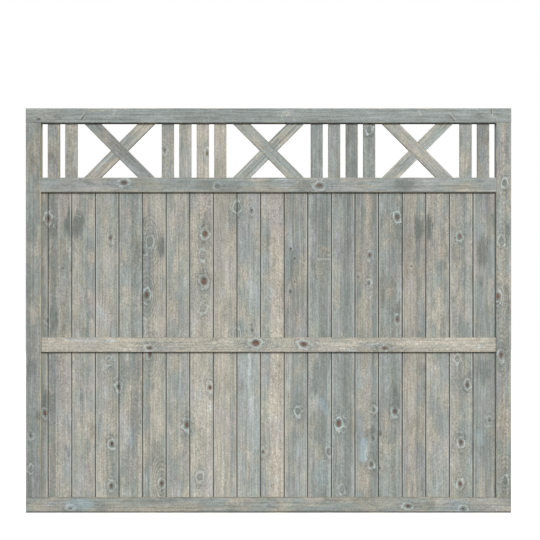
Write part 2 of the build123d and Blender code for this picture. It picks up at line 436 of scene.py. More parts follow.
patch_group, given, end = new_group(
    "Patch in the glaze",
    "Across, Along, Ragged, Dark, Sandy, Patch across, Patch along, Half width, Half length, Patch dark, "
    "Patch sandy",
    "Dark, Sandy",
)
part_across = (given["Across"] - given["Patch across"]) / given["Half width"]
part_along = (given["Along"] - given["Patch along"]) / given["Half length"]
oval = fade(distance(part_across, part_along) + given["Ragged"], *OVAL_EDGE)
finish_group(
    end, dark=larger(given["Dark"], oval * given["Patch dark"]),
    sandy=larger(given["Sandy"], oval * given["Patch sandy"]),
)

# %% [markdown]
# ## The grey glaze
# The glaze is thin and grey, and the timber takes it unevenly. Soft spring wood drinks more and turns
# slate or blue-grey, and dense bands stay tan. Nearly all of it can be made of one kind of noise, drawn out
# along the grain, from clouds a hand wide down to hairlines. So the kinds stand in one table by name.

# %% Group: grey glaze, its tones and its noise
GREEN_GREY = tone(152, 158, 150)
TAN = tone(184, 176, 161)
BLUE_GREY = tone(153, 161, 160)
PALE = tone(186, 187, 180)
SLATE = tone(112, 119, 114)
LINE = tone(112, 112, 103)
SHEEN = tone(176, 184, 187)
LILAC = tone(168, 164, 167)

glaze_group, given, end = new_group(
    "Grey glaze",
    "Across, Depth, Along, Line, Smudge, Seed, Warmth, Slate, Lightness, Paler below, Figure, Combed, "
    "Dark patch, Sandy patch, Sand middle, Sand half, Sand strength, Slate middle, Slate half, "
    "Slate strength",
    "Colour, Height, Streaks",
)

GRAINS = {
    # how fine it is across and along the grain, per metre, then its own shift, detail and roughness
    "broad cloud": (17, 8.5, 3.1, 4.0, 0.60),
    "long cloud": (75, 3.4, 14.9, 3.0, 0.60),
    "stripe wander": (90, 7.0, 12.7, 3.0, 0.60),
    "lilac": (13, 6.5, 52.3, 4.0, 0.60),
    "sheen": (33, 7.5, 27.9, 2.0, 0.50),
    "pale": (210, 1.9, 31.7, 2.0, 0.50),
    "slate": (30, 9.0, 43.9, 4.0, 0.65),
    "smudge": (120, 30, 8.3, 3.0, 0.60),
    "dark lines": (260, 1.3, 91.3, 2.0, 0.55),
    "streaks": (380, 6.0, 57.1, 3.0, 0.60),
    "stipple": (290, 240, 71.3, 2.0, 0.70),
    "tone stripes": (150, 1.1, 63.7, 2.0, 0.50),
    "mottle": (90, 26, 77.7, 4.0, 0.65),
    "comb": (330, 1.2, 19.3, 2.0, 0.50),
    "slow": (16, 6.0, 83.9, 2.0, 0.50),
}
STRIPE_WANDER = 0.026
STRIPE_EDGE = (-0.003, 0.004)


def grain_noise(kind):
    """Noise that is drawn out along the grain, moved by the piece's seed."""
    across_fine, along_fine, shift, detail, rough = GRAINS[kind]
    place = vector(
        given["Across"] * across_fine + shift,
        given["Depth"] * across_fine + given["Seed"],
        given["Along"] * along_fine + given["Seed"],
    )
    return noise(place, detail, rough)


def stripe(name):
    """A stripe along the grain, with a slow wander and ragged edges."""
    wander = (grain_noise("stripe wander") - 0.5) * STRIPE_WANDER
    off = abs(given["Across"] - given[name + " middle"] + wander)
    return fade(given[name + " half"] - off, *STRIPE_EDGE) * given[name + " strength"]


print(len(GRAINS), "kinds of noise along the grain")

# %% [markdown]
# ## Broad colour in the glaze
# Each tone has its own noise and a share: where it starts, where it is full and how much of it there is at
# most. Sandy and slate stripes and patches come in with the noise, and the stronger of the two counts, so
# that each board keeps the look of its own tree.

# %% Tan, blue-grey, lilac, sheen, pale and slate
SHARES = {
    # noise at which the tone starts, noise at which it is full, and its share before and after
    "tan": (0.45, 0.60, 0.0, 0.75),
    "blue": (0.52, 0.38, 0.0, 0.80),
    "lilac": (0.47, 0.62, 0.0, 0.36),
    "sheen": (0.60, 0.74, 0.0, 0.60),
    "pale": (0.56, 0.72, 0.0, 0.35),
    "slate": (0.55, 0.74, 0.0, 0.70),
    "smudge": (0.30, 0.60, 0.0, 0.55),
    "dark lines": (0.54, 0.70, 0.0, 0.42),
    "streaks": (0.52, 0.68, 0.0, 0.45),
}
LILAC_BY_WARMTH = (-0.20, -0.08, 0.10, 1.0)
LONG_CLOUD = 0.30
SAND_KEEPS_BLUE_OUT = 0.8

cloud = grain_noise("broad cloud") * (1.0 - LONG_CLOUD) + grain_noise("long cloud") * LONG_CLOUD
warm_cloud = cloud + given["Warmth"]
sand = larger(stripe("Sand"), given["Sandy patch"])
tan_share = larger(fade(warm_cloud, *SHARES["tan"]), sand)
blue_share = fade(warm_cloud, *SHARES["blue"]) * (1.0 - sand * SAND_KEEPS_BLUE_OUT)
lilac_share = fade(grain_noise("lilac"), *SHARES["lilac"]) * fade(given["Warmth"], *LILAC_BY_WARMTH)
near_knots = given["Smudge"] * fade(grain_noise("smudge"), *SHARES["smudge"])
slate_share = larger(fade(grain_noise("slate") + given["Slate"], *SHARES["slate"]), near_knots)
slate_share = larger(larger(slate_share, stripe("Slate")), given["Dark patch"])
colour = lay(
    GREEN_GREY, (tan_share, TAN), (blue_share, BLUE_GREY), (lilac_share, LILAC),
    (fade(grain_noise("sheen"), *SHARES["sheen"]), SHEEN),
    (fade(grain_noise("pale"), *SHARES["pale"]), PALE), (slate_share, SLATE),
)
print("tones laid with", len(glaze_group.nodes), "nodes so far")

# %% [markdown]
# ## Fine lines in the glaze
# Pigment stays in the open grain as dark hairlines. They are noise too, hundreds of times finer across the
# grain than along it. Where the wood is tan it is dense and holds less pigment, so the lines fade there.

# %% Dark lines, growth lines and the arches of a knot
LINES_LOST_IN_TAN = 0.65
GROWTH_LINE_SHARE = 0.22
FIGURE_SHARE = 0.70

lines_here = 1.0 - tan_share * LINES_LOST_IN_TAN
streaks = grain_noise("streaks")
colour = lay(
    colour, (fade(grain_noise("dark lines"), *SHARES["dark lines"]) * lines_here, LINE),
    (fade(streaks, *SHARES["streaks"]) * lines_here, LINE),
    (given["Line"] * GROWTH_LINE_SHARE, LINE), (given["Figure"] * FIGURE_SHARE, SLATE),
)
print("lines drawn with", len(glaze_group.nodes), "nodes so far")

# %% [markdown]
# ## Light, dark and relief
# Over the colour the glaze is speckled, where raised fibres catch it. Each factor here lies near one and all
# of them are multiplied, so they vary the tone without shifting it. Short dashes run aslant, as the plane
# tore the fibres. The fine noise also goes out as a height, so the relief follows what the eye sees.

# %% Stipple, dashes, mottle and comb marks
STIPPLE_DEPTH = 0.85
STIPPLE_MORE_IN_TAN = 1.10
DASH_SLANT = 0.55
DASH_FINE = (320, 95)
DASH_NOISE = (2.0, 0.6)
COMB_DEPTH = 1.5
LIGHTS = {
    # noise at which the light starts to change, noise at which it has changed, and the light at each
    "dashes": (0.30, 0.70, 0.85, 1.15),
    "tone stripes": (0.30, 0.70, 0.94, 1.06),
    "mottle": (0.32, 0.68, 0.90, 1.10),
    "slow": (0.30, 0.70, 0.91, 1.09),
}
STREAK_RELIEF = 0.5
STIPPLE_RELIEF = 0.3
GROWTH_LINE_RELIEF = 0.35

stipple = grain_noise("stipple")
slant_across = given["Across"] + given["Along"] * DASH_SLANT
slant_along = given["Along"] - given["Across"] * DASH_SLANT
dash_place = vector(slant_across * DASH_FINE[0], given["Depth"] * DASH_FINE[0] + given["Seed"],
                    slant_along * DASH_FINE[1])
factors = [
    (stipple - 0.5) * (tan_share * STIPPLE_MORE_IN_TAN + STIPPLE_DEPTH) + 1.0,
    fade(noise(dash_place, *DASH_NOISE), *LIGHTS["dashes"]),
    fade(grain_noise("tone stripes"), *LIGHTS["tone stripes"]),
    fade(grain_noise("mottle"), *LIGHTS["mottle"]),
    fade(grain_noise("slow"), *LIGHTS["slow"]),
    (grain_noise("comb") - 0.5) * given["Combed"] * COMB_DEPTH + 1.0,
    # painted light: a board is painted paler towards its bottom end
    1.0 - given["Along"] * given["Paler below"],
]
light = given["Lightness"]
for factor in factors:
    light = light * factor
lit = add_value(glaze_group, "ShaderNodeVectorMath", {0: colour, "Scale": light}, operation="SCALE")
height = streaks * STREAK_RELIEF + stipple * STIPPLE_RELIEF + given["Line"] * GROWTH_LINE_RELIEF
finish_group(end, colour=lit, height=height, streaks=streaks)

# %% [markdown]
# ## Knots under the glaze
# Round a knot the fibres run out of the face and take the glaze in bands, which leaves pale blue rings,
# dark outlines and faint contours like those of a map. All of them are bands of one value, the clearance
# from the knot, which noise bends the more the further out it is, so no ring is a drawn circle.

# %% Group: knots, the rings round the heart
HEART_BROWN = tone(126, 87, 67)
CORE_BROWN = tone(84, 64, 54)
RIM = tone(80, 80, 72)
RING_BLUE = tone(188, 197, 195)
SPOT_NOISES = {
    # how fine it is, per metre, then its own shift, detail and roughness
    "grit": (330, 2.3, 2.0, 0.6),
    "warp": (60, 9.1, 2.0, 0.5),
    "one side": (45, 21.7, 1.0, 0.5),
    "core": (190, 5.5, 2.0, 0.6),
    "whiskers": (55, 33.3, 1.0, 0.5),
}
KNOT_BANDS = {
    # clearance in metres at which a band starts, is full, is full for the last time and has ended
    "contours": (0.0100, 0.0140, 0.0200, 0.0360),
    "ring": (0.0055, 0.0080, 0.0095, 0.0125),
    "outline": (0.0120, 0.0135, 0.0145, 0.0175),
    "collar": (0.0, 0.0010, 0.0035, 0.0065),
    "rim": (-0.0008, 0.0002, 0.0008, 0.0024),
    "whiskers": (0.0040, 0.0080, 0.0140, 0.0360),
}
GRIT_REACH = 0.0040
WARP_GROWTH = 2.2
WARP_LIMIT = 0.03
CONTOUR_SPACING = 0.0036
CONTOUR_LINE = (CONTOUR_SPACING * 0.35, CONTOUR_SPACING * 0.9)
CONTOUR_SHARE = 0.55
ASLEEP_WITHIN = (0.010, 0.004)
RING_SIDES = (0.40, 0.58, 0.15, 0.90)
OUTLINE_SIDES = (0.40, 0.58, 0.50, 0.20)

knot_look_group, given, end = new_group(
    "Knots", "Colour, Height, Clearance, Ring, Heart, Along, Across", "Colour, Height, Gloss")


def spot_noise(kind):
    """Noise that is as fine along the grain as across it."""
    fine, shift, detail, rough = SPOT_NOISES[kind]
    return noise(vector(given["Across"] * fine + shift, shift, given["Along"] * fine), detail, rough)


def band(kind, value):
    """One where the value lies inside a band, fading to nothing at both of its edges."""
    start, full, last_full, ended = KNOT_BANDS[kind]
    return fade(value, start, full) * fade(value, ended, last_full)


ring = given["Ring"]
gap = (spot_noise("grit") - 0.5) * GRIT_REACH + given["Clearance"]
warp_reach = smaller(larger(given["Clearance"] * WARP_GROWTH, 0.0), WARP_LIMIT)
warped = (spot_noise("warp") - 0.5) * warp_reach + gap
one_side = spot_noise("one side")
near_sleeper = (1.0 - given["Heart"]) * fade(warped, *ASLEEP_WITHIN)
contours = fade(maths("PINGPONG", warped, CONTOUR_SPACING), *CONTOUR_LINE)
contours = contours * larger(band("contours", warped), near_sleeper)
ring_part = band("ring", warped) * ring * fade(one_side, *RING_SIDES)
outline = band("outline", warped) * ring * fade(one_side, *OUTLINE_SIDES)
colour = lay(
    given["Colour"], (contours * ring * CONTOUR_SHARE, SLATE), (ring_part, RING_BLUE), (outline, RIM),
)
print("rings drawn with", len(knot_look_group.nodes), "nodes so far")

# %% [markdown]
# ## The heart of a knot
# Resin keeps the glaze out of the branch itself, so its heart stays red-brown, with a darker core, a thin
# dark rim and a slate collar. Fine pale whiskers cross the bands where the raised fibres were rubbed. A
# sleeping knot lies just under the face: it has no heart and shows only its rings.

# %% Collar, rim, heart and whiskers
COLLAR_SHARE = 0.5
RIM_SHARE = 0.7
WHISKER_SHARE = 0.80
HEART_EDGE = (0.0006, -0.0006)
CORE_EDGE = (0.42, 0.60)
WHISKER_EDGE = (0.020, 0.005)
KNOT_RELIEF = 0.8

heart_share = fade(gap, *HEART_EDGE) * given["Heart"]
heart_tone = blend(fade(spot_noise("core"), *CORE_EDGE), CORE_BROWN, HEART_BROWN)
whiskers = fade(abs(spot_noise("whiskers") - 0.5), *WHISKER_EDGE) * band("whiskers", warped) * ring
colour = lay(
    colour, (band("collar", warped) * ring * COLLAR_SHARE, SLATE),
    (band("rim", gap) * given["Heart"] * RIM_SHARE, RIM), (heart_share, heart_tone),
    (whiskers * WHISKER_SHARE, RING_BLUE),
)
height = given["Height"] + (ring_part - heart_share) * KNOT_RELIEF
finish_group(end, colour=colour, height=height, gloss=heart_share)

# %% [markdown]
# ## Dark joints between the boards
# Glaze and dust gather in the V-joints, and the edges beside them are rubbed pale here and there. All joints
# lie one board's cover apart, so one ping-pong of the place across the panel finds the nearest of them, and
# both effects are bands of that distance with a ragged edge.

# %% Group: V-joints
BOARD_COVER = 0.08775
FIRST_JOINT = -0.8194
JOINT_DIRT = tone(76, 74, 67)
JOINT_RAGGED = 0.0016
JOINT_FINE = 22
JOINT_NOISE = (3.0, 0.6)
DIRT_SHARE = (0.0034, 0.0014, 0.0, 0.85)
RUB_START = (0.0030, 0.0042)
RUB_END = (0.0080, 0.0055)
RUB_FINE = (40, 2.5)
RUB_SHIFT = 5.0
RUB_SHARE = (0.42, 0.58, 0.0, 0.65)

joint_group, given, end = new_group("Board joints", "Colour, Place", "Colour")
spot = axes(given["Place"])
from_joint = maths("PINGPONG", spot["X"] - FIRST_JOINT, BOARD_COVER / 2)
edge_noise = noise(vector(spot["X"], 0.0, spot["Z"] * JOINT_FINE), *JOINT_NOISE)
ragged = edge_noise * JOINT_RAGGED + from_joint
rub_noise = noise(vector(spot["X"] * RUB_FINE[0], RUB_SHIFT, spot["Z"] * RUB_FINE[1]))
rub = fade(ragged, *RUB_START) * fade(ragged, *RUB_END) * fade(rub_noise, *RUB_SHARE)
finish_group(end, colour=lay(given["Colour"], (rub, PALE), (fade(ragged, *DIRT_SHARE), JOINT_DIRT)))

# %% [markdown]
# ## Arrises, sawn sides and end grain
# The faces of a frame piece are planed and its sides and ends are sawn, so these take the glaze browner. On
# an end the growth rings show as arcs. Where two planed faces meet, handling rubs the glaze off the arris.
# The distances to side, face and end say which of these a point belongs to. On six pieces one side takes
# painted shade or painted light instead of the sawn brown.

# %% Group: arrises, sides and ends
RAW_TIMBER = tone(206, 192, 160)
SIDE_BROWN = tone(138, 135, 122)
END_GRAIN = tone(150, 143, 127)
END_EDGE = (0.0012, 0.0004)
END_SHARE = 0.6
END_RING_SHARE = 0.7
SIDE_EDGE = (0.0014, 0.0004)
SIDE_SHARE = (0.35, 0.60, 0.95, 0.75)
WORN_EDGE = (0.0034, 0.0012)
WORN_SHARE = (0.48, 0.66)
WORN_FINE = (30, 14)
WORN_NOISE = (4.0, 0.6)

arris_group, given, end = new_group(
    "Arrises, sides and ends",
    "Colour, Across, Depth, Along, Half width, Half depth, Half length, Line, Streaks, Wear, "
    "Minus side, Plus side",
    "Colour",
)
to_side = given["Half width"] - abs(given["Across"])
to_face = given["Half depth"] - abs(given["Depth"])
at_end = fade(given["Half length"] - abs(given["Along"]), *END_EDGE)
# each piece brings its two side tones: sawn brown, except on six pieces, which have painted shade on the top
# and bottom rails and painted light on the other rails and the stiles
is_plus = maths("GREATER_THAN", given["Across"], 0.0)
side_tone_with_painted_light = blend(is_plus, given["Minus side"], given["Plus side"])
side_share = fade(to_side, *SIDE_EDGE) * fade(given["Streaks"], *SIDE_SHARE)
worn_place = vector(given["Across"] * WORN_FINE[0], given["Depth"] * WORN_FINE[0],
                    given["Along"] * WORN_FINE[1])
worn_noise = fade(noise(worn_place, *WORN_NOISE), *WORN_SHARE)
worn = fade(to_side + to_face, *WORN_EDGE) * worn_noise * given["Wear"]
colour = lay(
    given["Colour"], (side_share, side_tone_with_painted_light), (at_end * END_SHARE, END_GRAIN),
    (at_end * given["Line"] * END_RING_SHARE, RIM), (worn, RAW_TIMBER),
)
finish_group(end, colour=colour)

# %% [markdown]
# ## Where the knots are
# A knot is easy to read on a pale board, so these sit where they do on the real panel. Each one has its
# place across the panel and its height, the radius of its brown heart, all in millimetres, and how strong
# its pale rings are. A sleeping knot, whose radius is written with a minus, has no heart, and a pin knot
# has no rings.
#
# The lists are kept short, because a handful of knots in the right place says more about a
# panel than hundreds scattered by chance.

# %% Knots on the boards, the rails and the battens
BOARD_KNOTS = [
    # (x, height, radius of the heart, strength of the rings)
    (-820, 1092, 5.5, 0.8), (-587, 1020, 3.0, 0.6), (-236, 1036, 6.5, 1.0), (-240, 859, 7.5, 1.0),
    (-440, 1006, -6.0, 0.8), (-453, 808, 6.0, 0.8), (-117, 1134, -6.5, 0.75), (-65, 1121, 2.0, 0.5),
    (478, 1097, 5.0, 0.9), (711, 1026, 3.5, 0.8), (376, 955, 3.0, 0.6), (82, 980, 2.4, 0.0),
    (82, 820, 2.6, 0.0), (96, 945, 1.4, 0.0), (96, 857, 1.4, 0.0), (-244, 758, -5.0, 0.6),
    (-244, 956, -5.0, 0.6), (-820, 712, 3.0, 0.5), (-117, 661, -6.5, 0.75), (-63, 677, 2.0, 0.5),
    (479, 716, 3.5, 0.6), (-441, 587, 4.0, 0.6), (-594, 562, -3.0, 0.7), (702, 570, -3.0, 0.7),
    (-830, 369, 4.5, 0.5), (-557, 468, 3.5, 0.9), (-582, 254, 4.0, 1.0), (-584, 99, 3.8, 0.9),
    (-474, 337, 1.2, 0.4), (-397, 107, 3.6, 1.0), (-304, 326, 5.5, 1.0), (-218, 464, 4.0, 0.7),
    (-255, 131, -4.5, 0.8), (-20, 225, 2.2, 0.4), (261, 330, 6.0, 1.0), (110, 376, -3.5, 0.8),
    (225, 225, -4.0, 0.9), (272, 83, -3.0, 0.7), (470, 375, 4.2, 0.6), (391, 381, 1.8, 0.8),
    (389, 274, 1.6, 0.3), (417, 292, 2.0, 0.0), (383, 179, 2.2, 0.8), (414, 164, 1.2, 0.4),
    (739, 474, 3.8, 0.9), (715, 261, 4.0, 1.0), (713, 105, 3.8, 0.9), (822, 342, 1.6, 0.5),
    (373, 851, 1.5, 0.6), (334, 875, 1.2, 0.3), (531, 914, 1.2, 0.0), (-764, 907, 1.2, 0.0),
    (-463, 968, 1.5, 0.5),
]
FRAME_KNOTS = [
    (-536, 1224, 5.5, 0.7), (-189, 1211, -3.0, 0.4), (189, 1213, 6.0, 0.8),
    (849, 803, 6.0, 1.0), (864, 1007, -5.0, 0.8), (862, 585, 5.0, 0.9), (875, 1222, -3.0, 0.8),
    (877, 118, -3.0, 1.0), (-851, 1460, 2.2, 0.2), (-734, 17, 2.5, 0.6), (517, 25, 4.0, 0.8),
    (721, 15, 2.5, 0.6), (-882, 287, 2.0, 0.4), (-883, 160, -2.0, 0.7),
]
MIDDLE_RAIL_KNOTS = [
    (-441, 611, 3.8, 0.9), (-47, 630, 7.5, 1.0), (131, 625, 6.5, 0.9), (430, 611, 4.0, 0.9),
]
BATTEN_KNOTS = [(-227, 1334, 3.5, 0.8), (-386, 1346, 2.0, 0.8), (375, 1422, -3.0, 0.9)]
print(len(BOARD_KNOTS), "knots on the boards,", len(FRAME_KNOTS), "on the frame,",
      len(MIDDLE_RAIL_KNOTS) + len(BATTEN_KNOTS), "on the middle rail and the battens")

# %% [markdown]
# ## Where the glaze is dark or sandy
# The eye also remembers a board by its broad patches: a slate smudge over a hidden knot, or a sandy stretch
# that drank little glaze. These are the larger ones, each an oval along the grain, listed one by one like the
# knots.

# %% Dark and sandy patches
PATCHES = [
    # (x, height, half width, half length, strength): a minus sign makes the patch dark, a plus sandy
    (-800, 1056, 16, 45, -0.7), (-740, 1071, 20, 50, -0.95), (-710, 1068, 22, 46, -0.9),
    (-885, 1034, 22, 40, -0.4), (-885, 841, 18, 70, -0.5), (-493, 962, 17, 55, -0.72),
    (-397, 986, 14, 50, -0.9), (-805, 718, 22, 62, -0.9), (-758, 793, 15, 60, -0.2),
    (-149, 1155, 25, 60, -0.15), (-149, 745, 20, 50, -0.3), (557, 1058, 20, 50, -0.8),
    (597, 1064, 13, 52, -1.0), (481, 1058, 12, 42, -0.6), (337, 926, 12, 50, -0.15),
    (421, 841, 15, 70, -0.5), (798, 966, 22, 62, -0.75), (194, 940, 34, 200, -0.45),
    (300, 974, 25, 100, 0.2), (481, 745, 12, 40, -0.85), (216, 1155, 30, 60, -0.35),
    (-806, 406, 14, 48, -0.8), (-832, 411, 10, 50, -0.95), (-879, 538, 20, 48, -0.45),
    (-487, 534, 17, 46, -0.58), (-525, 524, 26, 48, -0.48), (-657, 304, 10, 32, -0.22),
    (-415, 215, 22, 60, -0.5), (-513, 181, 34, 80, -0.5), (-368, 364, 12, 50, -0.28),
    (472, 419, 14, 46, -0.8), (390, 402, 12, 60, -0.5), (390, 300, 10, 32, -1.0),
    (798, 526, 28, 52, -0.75), (749, 504, 10, 26, -0.7), (804, 236, 20, 50, -0.4), (184, 503, 24, 62, -0.75),
    (630, 313, 14, 26, -0.2),
    (-659, 1100, 10, 60, 0.8), (-659, 950, 13, 38, 1.0), (-662, 799, 9, 35, 0.8),
    (-659, 691, 10, 36, 0.8), (-593, 1161, 12, 60, 0.7), (-535, 962, 8, 45, 0.75),
    (-357, 1071, 10, 60, 0.9), (-357, 739, 11, 40, 1.0), (-439, 1076, 20, 60, 0.6),
    (-412, 914, 14, 60, 0.7), (-240, 1143, 30, 50, 1.0), (-258, 914, 13, 34, 0.85),
    (-774, 841, 25, 80, 0.5), (370, 1155, 14, 60, 1.0), (370, 1034, 13, 80, 0.95),
    (373, 793, 14, 60, 0.8), (373, 691, 14, 40, 1.0), (210, 974, 19, 18, 1.0),
    (635, 1137, 10, 55, 0.9), (641, 968, 18, 26, 1.0), (635, 811, 8, 30, 0.9),
    (635, 709, 9, 32, 0.8), (704, 1149, 10, 60, 0.6), (481, 1155, 12, 40, 0.6),
    (-777, 538, 9, 60, 1.0), (-772, 343, 7, 60, 0.6), (-623, 385, 12, 60, 0.5),
    (-623, 172, 25, 70, 0.8), (-525, 564, 9, 28, 0.6), (-432, 406, 10, 90, 0.8),
    (351, 526, 9, 60, 0.95), (521, 513, 8, 90, 0.9), (357, 130, 28, 50, 0.85),
    (-20, 628, 30, 100, -0.18), (-190, 628, 30, 60, -0.12), (131, 610, 14, 70, -0.15),
    (72, 1480, 9, 12, 0.9), (-629, 1491, 3, 54, 0.7), (612, 1491, 3, 58, 0.5), (-820, 1474, 30, 70, 0.45),
    (-885, 1334, 22, 60, -0.3), (-230, 1212, 22, 45, -0.4), (-140, 1205, 20, 40, -0.4),
    (135, 1212, 24, 30, -0.5), (500, 1216, 22, 45, -0.6), (0, 1200, 10, 120, 0.6),
    (330, 1205, 14, 90, 0.5), (-620, 1200, 12, 100, 0.5), (-815, 27, 22, 75, 0.5),
    (-623, 28, 22, 16, -0.33), (-325, 28, 18, 100, 0.5), (430, 32, 16, 60, 0.4),
    (600, 28, 20, 20, -0.5), (813, 30, 18, 80, 0.5), (869, 1335, 10, 85, 1.0),
    (868, 360, 10, 110, 1.0), (880, 640, 9, 60, -0.1),
]
print(sum(patch[4] < 0 for patch in PATCHES), "dark patches and",
      sum(patch[4] > 0 for patch in PATCHES), "sandy ones")

# %% [markdown]
# ## Scratches from handling, and painted shade on a few edges
# Corners of other panels have dragged over this one and left short pale lines, and dents that look dark
# beside them. Each is a straight line from one spot to another. A bent one is two or three lines in a row.
# The last ones are a dark line along the top edge of the bottom rail, and painted shade along the bottom
# rail's lower arris and along the stiles' inner arrises beside the lattice. A rub is written in the same way
# but is much wider, and it leaves the grain and only adds a little pale blue to it.

# %% Scratches
SCRATCHES_AND_PAINTED_SHADE = [
    # (x, height) of one end, (x, height) of the other, half width, strength: minus is dark, plus is pale
    (-682, 1483, -700, 1462, 1.3, 0.8), (-686, 1471, -694, 1458, 2.6, -0.7),
    (-568, 1494, -576, 1475, 1.6, 0.7), (556, 1492, 567, 1474, 1.3, 0.8),
    (672, 1480, 693, 1456, 1.3, 0.8), (674, 1473, 688, 1455, 2.4, -0.7),
    (825, 1496, 829, 1481, 2.6, -0.6), (831, 1494, 831, 1469, 1.4, 0.7), (831, 1469, 850, 1454, 1.3, 0.7),
    (838, 1464, 844, 1455, 2.0, -0.8), (98, 1494, 65, 1490, 1.4, 0.5), (65, 1490, 48, 1473, 1.4, 0.6),
    (48, 1473, 54, 1456, 1.3, 0.6), (90, 1461, 99, 1455, 1.4, 0.6),
    (113, 937, 141, 921, 1.2, 0.8), (146, 916, 156, 909, 1.4, 0.6), (186, 941, 229, 941, 2.6, 0.5),
    (219, 955, 230, 956, 1.6, 0.7), (236, 958, 245, 967, 1.6, 0.6), (237, 844, 245, 834, 1.6, 0.7),
    (237, 794, 252, 781, 1.4, 0.6), (569, 1112, 599, 1100, 1.2, 0.6), (-727, 1106, -697, 1100, 1.2, 0.6),
    (-192, 1216, -188, 1206, 1.4, -0.9), (-185, 1216, -182, 1208, 1.4, -0.8),
    (474, 1100, 484, 1094, 2.6, -0.85), (-541, 1222, -531, 1227, 2.2, -0.8),
    # from (-899, 1) on: painted shade along the bottom rail's lower arris and the stiles' inner arrises; the
    # stroke at 57 mm darkens the bottom rail's top edge
    (184, 1209, 194, 1216, 2.6, -0.8), (-899, 1, 899, 1, 4.2, -0.95), (-899, 57, 899, 57, 3.0, -0.3),
    (-844, 1246, -844, 1452, 2.2, -0.6), (844, 1246, 844, 1452, 2.0, -0.5),
]
RUBS = [
    # (x, height) of one end, (x, height) of the other, half width, strength
    (196, 412, 214, 376, 13, 0.8), (356, 262, 353, 200, 15, 1.0), (-519, 290, -512, 262, 15, 0.35),
    (784, 292, 792, 262, 15, 0.5), (640, 30, 705, 30, 20, 0.3), (-735, 32, -670, 32, 18, 0.7),
    (196, 180, 200, 110, 17, 0.5), (-604, 455, -600, 430, 14, 0.4),
]
print(len(SCRATCHES_AND_PAINTED_SHADE), "scratches and", len(RUBS), "rubs")

# %% [markdown]
# ## How a scratch is drawn
# The nearest point of a line to a spot is found as with a set square: drop the spot on the line, and don't
# go past its ends. The distance to it, with a little noise, says how strongly the scratch shows. Scratches
# are only on the face that was dragged over, which is the front.

# %% Group: a scratch
SCRATCH_RAGGED = 0.0016
SCRATCH_FINE = 300
SCRATCH_EDGE = (1.5, 0.5)
PALE_BLUE = tone(74, 106, 122)

scratch_group, given, end = new_group(
    "Scratch",
    "Place, Pale, Dark, Start x, Start z, Run x, Run z, Half width, Scratch pale, Scratch dark",
    "Pale, Dark",
)
spot = axes(given["Place"])
from_x = spot["X"] - given["Start x"]
from_z = spot["Z"] - given["Start z"]
run_x = given["Run x"]
run_z = given["Run z"]
share_along = maths("DIVIDE", from_x * run_x + from_z * run_z, run_x * run_x + run_z * run_z, clamp=True)
beside = distance(from_x - share_along * run_x, from_z - share_along * run_z)
scratch_noise = noise(vector(spot["X"] * SCRATCH_FINE, 0.0, spot["Z"] * SCRATCH_FINE))
roughened = (scratch_noise - 0.5) * SCRATCH_RAGGED + beside
in_front = maths("LESS_THAN", spot["Y"], 0.0)
in_scratch = fade(roughened / given["Half width"], *SCRATCH_EDGE) * in_front
finish_group(
    end, pale=larger(given["Pale"], in_scratch * given["Scratch pale"]),
    dark=larger(given["Dark"], in_scratch * given["Scratch dark"]),
)

# %% [markdown]
# ## Sort them by piece
# Each piece gets its own material, with only its own knots and patches in it, which keeps a material small.
# A spot belongs to the piece whose box it falls in, seen from the front. Rings are wider than hearts, so a
# board also shows the rings of a knot just across its joint.

# %% Find the knots and patches of a piece
KNOT_REACH = 0.018


def on_piece(name, x, height, beyond=0.0):
    """True if the spot lies on the piece, seen from the front, or no further beyond its sides than said."""
    low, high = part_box(name)
    return low.x - beyond <= x <= high.x + beyond and low.z <= height <= high.z


def patches_on(name):
    """The patches whose middles lie on a piece, in metres."""
    in_metres = [tuple(size / 1000 for size in patch[:4]) + patch[4:] for patch in PATCHES]
    return [patch for patch in in_metres if on_piece(name, *patch[:2])]


def knots_on(name):
    """The knots of a piece, as (x, height, radius, ring strength), in metres."""
    if name.startswith("board"):
        known = BOARD_KNOTS
    elif name == "middle_rail_front":
        known = MIDDLE_RAIL_KNOTS
    elif name.startswith(("picket", "falling", "rising")):
        known = BATTEN_KNOTS
    else:
        known = FRAME_KNOTS
    beyond = KNOT_REACH if name.startswith("board") else 0.0
    in_metres = [(x / 1000, z / 1000, radius / 1000, ring) for x, z, radius, ring in known]
    return [knot for knot in in_metres if on_piece(name, *knot[:2], beyond)]


print(sum(len(knots_on(name)) for name in panel), "knots and",
      sum(len(patches_on(name)) for name in panel), "patches placed")

# %% [markdown]
# ## Lay the grain and the knots of a piece
# Every pattern needs to know how far a point lies across the grain, how deep and how far along it. A Mapping
# node moves the origin to the piece's middle and turns it along the grain, so no two pieces are cut from the
# same place. Then each knot in turn pushes the fibres aside, and hands the changed values to the next.

# %% Grain, knots and patches of one piece
FAR_AWAY = 50.0
WOBBLE = 0.003
WOBBLE_FINE = (120, 60)
PLAIN_FIGURE = 0.25
FIGURES = {"board_06": 1.0, "right_stile": 0.6}
PATCH_RAGGED = 2.4
PATCH_FINE = (90, 16)
PATCH_NOISE = (4.0, 0.7)


def on_grain(name, lean, x, height):
    """A spot's place across and along the grain, counted from the piece's middle."""
    low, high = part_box(name)
    turn = math.radians(lean)
    off_x = x - (low.x + high.x) / 2
    off_z = height - (low.z + high.z) / 2
    return (off_x * math.cos(turn) - off_z * math.sin(turn) + WOBBLE / 2,
            off_x * math.sin(turn) + off_z * math.cos(turn))


def lay_grain(tree, name, lean, seed):
    """A point's place on the panel and on the grain, and its place across the grain with a slight wobble."""
    low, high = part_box(name)
    place = add_value(tree, "ShaderNodeTexCoord", output="Object")
    turn = {"Vector": place, "Location": (low + high) / 2, "Rotation": (0, math.radians(lean), 0)}
    spot = axes(add_value(tree, "ShaderNodeMapping", turn, vector_type="TEXTURE"))
    wobble = noise(vector(spot["X"] * WOBBLE_FINE[0], seed, spot["Z"] * WOBBLE_FINE[1]))
    return place, spot, wobble * WOBBLE + spot["X"]


